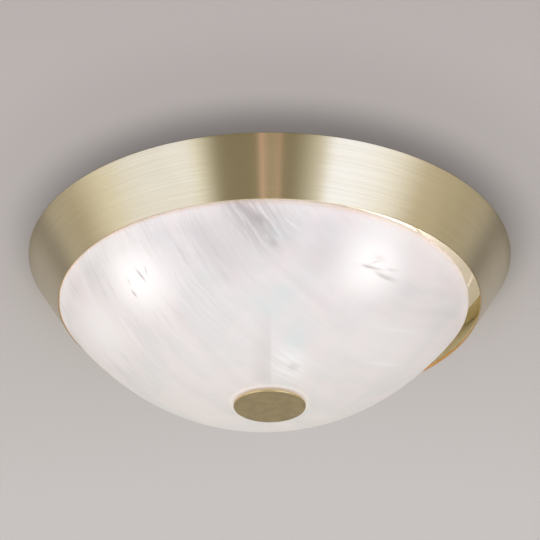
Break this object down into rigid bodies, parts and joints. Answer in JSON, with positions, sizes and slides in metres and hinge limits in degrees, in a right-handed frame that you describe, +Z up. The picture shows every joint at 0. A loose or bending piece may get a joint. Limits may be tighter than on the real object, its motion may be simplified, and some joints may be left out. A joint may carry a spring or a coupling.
{
  "type": "ceiling light",
  "caption": "Flush ceiling light: conical satin-brass skirt, alabaster-style glass bowl clamped on a centre rod by a brass finial disc, with screw-cap lamps inside.",
  "frame": {"origin": "centre of the ceiling face, in the plane where the light meets the ceiling", "axes": "+Z up into the ceiling; the light hangs to -Z; -X is the side to which the bowl is pushed"},
  "size_m": [0.42, 0.42, 0.136],
  "materials": {
    "satin_brass": "satin, brushed round the skirt",
    "satin_brass_disc": "satin",
    "turned_brass": "turned",
    "white_lacquer": "satin powder coat",
    "aluminium": "plain",
    "grey_rubber": "matte",
    "zinc_sheet": "zinc plated",
    "zinc_steel": "zinc plated",
    "threaded_rod": "zinc plated thread",
    "spring_steel": "dark spring steel",
    "silicone": "translucent silicone",
    "alabaster_glass": "veined alabaster-style glass",
    "polyamide": "moulded",
    "porcelain": "glazed porcelain",
    "nickel_brass": "nickel plated",
    "frosted_glass": "inside-frosted lamp glass",
    "cap_aluminium": "pressed",
    "black_glass": "black insulator glass",
    "solder": "solder",
    "clear_glass": "clear stem glass",
    "tungsten": "drawn wire",
    "brown_lead": "insulation",
    "blue_lead": "insulation",
    "earth_lead": "insulation"
  },
  "bodies": {
    "root": {"brass_skirt": "satin_brass", "back_plate": "white_lacquer", "skirt_rivets": "aluminium", "cable_grommet": "grey_rubber", "lamp_bracket": "zinc_sheet", "bracket_screws": "zinc_steel", "centre_rod": "threaded_rod", "rod_nuts": "zinc_steel", "toothed_washer": "spring_steel", "bowl_stop_nut": "zinc_steel", "cup_washer": "zinc_sheet", "upper_seal": "silicone", "holder_screws": "zinc_steel", "terminal_block": "polyamide", "terminal_barrels": "turned_brass", "terminal_screws": "zinc_steel", "block_screw": "zinc_steel", "earth_screw": "turned_brass", "live_leads": "brown_lead", "neutral_leads": "blue_lead", "earth_lead": "earth_lead", "holder_body_1": "porcelain", "screw_shell_1": "nickel_brass", "centre_contact_1": "nickel_brass", "holder_body_2": "porcelain", "screw_shell_2": "nickel_brass", "centre_contact_2": "nickel_brass", "holder_body_3": "porcelain", "screw_shell_3": "nickel_brass", "centre_contact_3": "nickel_brass"},
    "bowl": {"glass_bowl": "alabaster_glass"},
    "finial_washer": {"lower_seal": "silicone"},
    "finial": {"finial_disc": "satin_brass_disc", "finial_hub": "turned_brass"},
    "lamp_tip_1": {"lamp_tip_1": "solder"},
    "lamp_tip_2": {"lamp_tip_2": "solder"},
    "lamp_tip_3": {"lamp_tip_3": "solder"},
    "lamp_1": {"lamp_glass_1": "frosted_glass", "lamp_cap_1": "cap_aluminium", "lamp_insulator_1": "black_glass", "lamp_stem_1": "clear_glass", "filament_1": "tungsten"},
    "lamp_2": {"lamp_glass_2": "frosted_glass", "lamp_cap_2": "cap_aluminium", "lamp_insulator_2": "black_glass", "lamp_stem_2": "clear_glass", "filament_2": "tungsten"},
    "lamp_3": {"lamp_glass_3": "frosted_glass", "lamp_cap_3": "cap_aluminium", "lamp_insulator_3": "black_glass", "lamp_stem_3": "clear_glass", "filament_3": "tungsten"}
  },
  "joints": [
    {"name": "bowl_lower", "type": "slide", "parent": "root", "child": "bowl", "axis": [0, 0, -1], "range_m": [0, 0.1]},
    {"name": "finial_travel", "type": "slide", "parent": "bowl", "child": "finial_washer", "axis": [0, 0, -1], "range_m": [0, 0.006]},
    {"name": "finial_turn", "type": "hinge", "parent": "finial_washer", "child": "finial", "pos_m": [0, 0, -0.134], "axis": [0, 0, -1], "range_deg": [0, 2160]},
    {"name": "lamp_1_travel", "type": "slide", "parent": "root", "child": "lamp_tip_1", "axis": [0.1736, 0.9848, 0], "range_m": [0, 0.01452]},
    {"name": "lamp_1_turn", "type": "hinge", "parent": "lamp_tip_1", "child": "lamp_1", "pos_m": [0.01736, 0.09848, -0.042], "axis": [0.1736, 0.9848, 0], "range_deg": [0, 1440]},
    {"name": "lamp_2_travel", "type": "slide", "parent": "root", "child": "lamp_tip_2", "axis": [-0.9397, -0.342, 0], "range_m": [0, 0.01452]},
    {"name": "lamp_2_turn", "type": "hinge", "parent": "lamp_tip_2", "child": "lamp_2", "pos_m": [-0.09397, -0.0342, -0.042], "axis": [-0.9397, -0.342, 0], "range_deg": [0, 1440]},
    {"name": "lamp_3_travel", "type": "slide", "parent": "root", "child": "lamp_tip_3", "axis": [0.766, -0.6428, 0], "range_m": [0, 0.01452]},
    {"name": "lamp_3_turn", "type": "hinge", "parent": "lamp_tip_3", "child": "lamp_3", "pos_m": [0.0766, -0.06428, -0.042], "axis": [0.766, -0.6428, 0], "range_deg": [0, 1440]}
  ],
  "couplings": [
    {"joint": "finial_travel", "follows": "finial_turn", "m_per_rad": 0.00015915},
    {"joint": "lamp_1_travel", "follows": "lamp_1_turn", "m_per_rad": 0.00057757},
    {"joint": "lamp_2_travel", "follows": "lamp_2_turn", "m_per_rad": 0.00057757},
    {"joint": "lamp_3_travel", "follows": "lamp_3_turn", "m_per_rad": 0.00057757}
  ]
}
